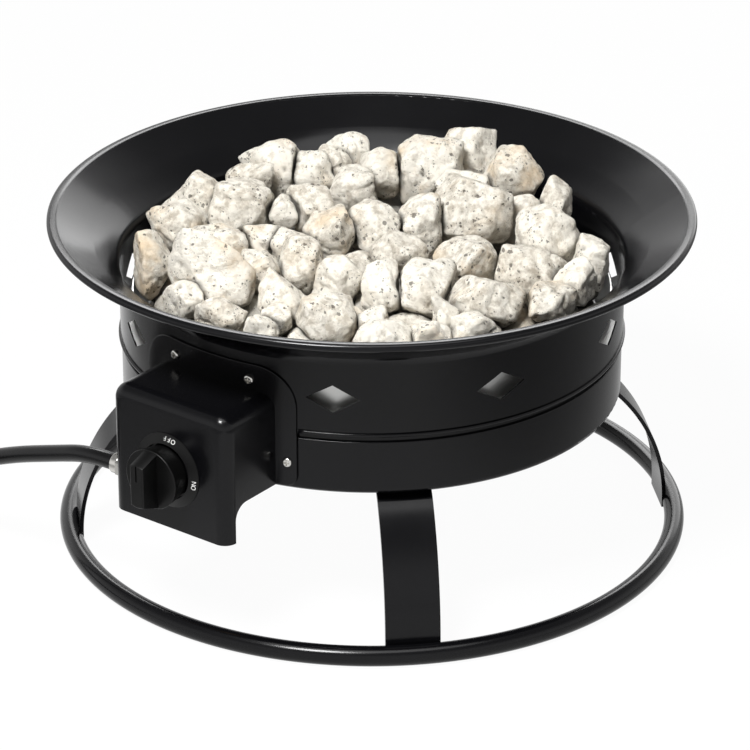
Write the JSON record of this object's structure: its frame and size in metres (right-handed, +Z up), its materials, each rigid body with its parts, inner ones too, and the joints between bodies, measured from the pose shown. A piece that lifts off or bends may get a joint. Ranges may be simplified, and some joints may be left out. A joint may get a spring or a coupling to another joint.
{
  "type": "propane fire pit",
  "caption": "Portable propane fire bowl: drum with flared rim and diamond windows on strap legs and a tube ring, lava stones, side control box with knob, gas hose and regulator.",
  "frame": {"origin": "on the floor under the bowl's axis", "axes": "+Z up along the bowl's axis, the legs on the X and Y axes, the control box half way between -X and -Y"},
  "size_m": [0.8398, 0.4826, 0.2794],
  "materials": {
    "black_enamel": "gloss",
    "pan_steel": "satin",
    "burner_steel": "satin",
    "lava_stone": "matte",
    "nickel_plate": "polished",
    "black_moulding": "satin",
    "valve_brass": "satin",
    "spring_steel": "satin",
    "hose_rubber": "satin",
    "tie_webbing": "matte",
    "regulator_zinc": "satin",
    "vent_plastic": "matte",
    "seal_rubber": "matte",
    "nut_plastic": "satin"
  },
  "bodies": {
    "root": {"base_ring": "black_enamel", "leg_front": "black_enamel", "leg_right": "black_enamel", "leg_back": "black_enamel", "leg_left": "black_enamel", "leg_rivets": "black_enamel", "lower_bowl": "black_enamel", "upper_shell": "black_enamel", "control_box": "black_enamel", "burner_pan": "pan_steel", "burner_ring": "burner_steel", "burner_crossbar": "burner_steel", "gas_feed_tube": "burner_steel", "feed_lock_nut": "nickel_plate", "rocks_base": "lava_stone", "rocks_middle": "lava_stone", "rocks_top": "lava_stone", "box_screws": "nickel_plate", "box_nuts": "nickel_plate", "dial_bezel": "black_moulding", "return_spring": "spring_steel", "valve_body": "valve_brass", "valve_bonnet": "valve_brass", "valve_nut": "nickel_plate", "gas_orifice": "valve_brass", "inlet_pipe": "valve_brass", "hose_nut": "nickel_plate", "hose_ferrule": "nickel_plate", "gas_hose": "hose_rubber", "hose_coil": "hose_rubber", "coil_tie": "tie_webbing", "coil_end_ferrule": "nickel_plate", "regulator_body": "regulator_zinc", "regulator_cover": "regulator_zinc", "regulator_screws": "nickel_plate", "regulator_vent": "vent_plastic", "tank_nipple": "valve_brass", "nipple_seal": "seal_rubber"},
    "push_carrier": {"spring_seat": "valve_brass"},
    "knob": {"knob": "black_moulding", "valve_stem": "valve_brass"},
    "hand_nut": {"hand_nut": "nut_plastic"}
  },
  "joints": [
    {"name": "knob_push", "type": "slide", "parent": "root", "child": "push_carrier", "axis": [0.7071, 0.7071, 0], "range_m": [0, 0.003], "stiffness_N_per_m": 600},
    {"name": "knob_turn", "type": "hinge", "parent": "push_carrier", "child": "knob", "pos_m": [-0.16971, -0.16971, 0.1355], "axis": [0.7071, 0.7071, 0], "range_deg": [0, 100]},
    {"name": "hand_nut_turn", "type": "hinge", "parent": "root", "child": "hand_nut", "pos_m": [-0.56552, -0.1292, 0.0211], "axis": [0, -1, 0], "continuous": true}
  ]
}
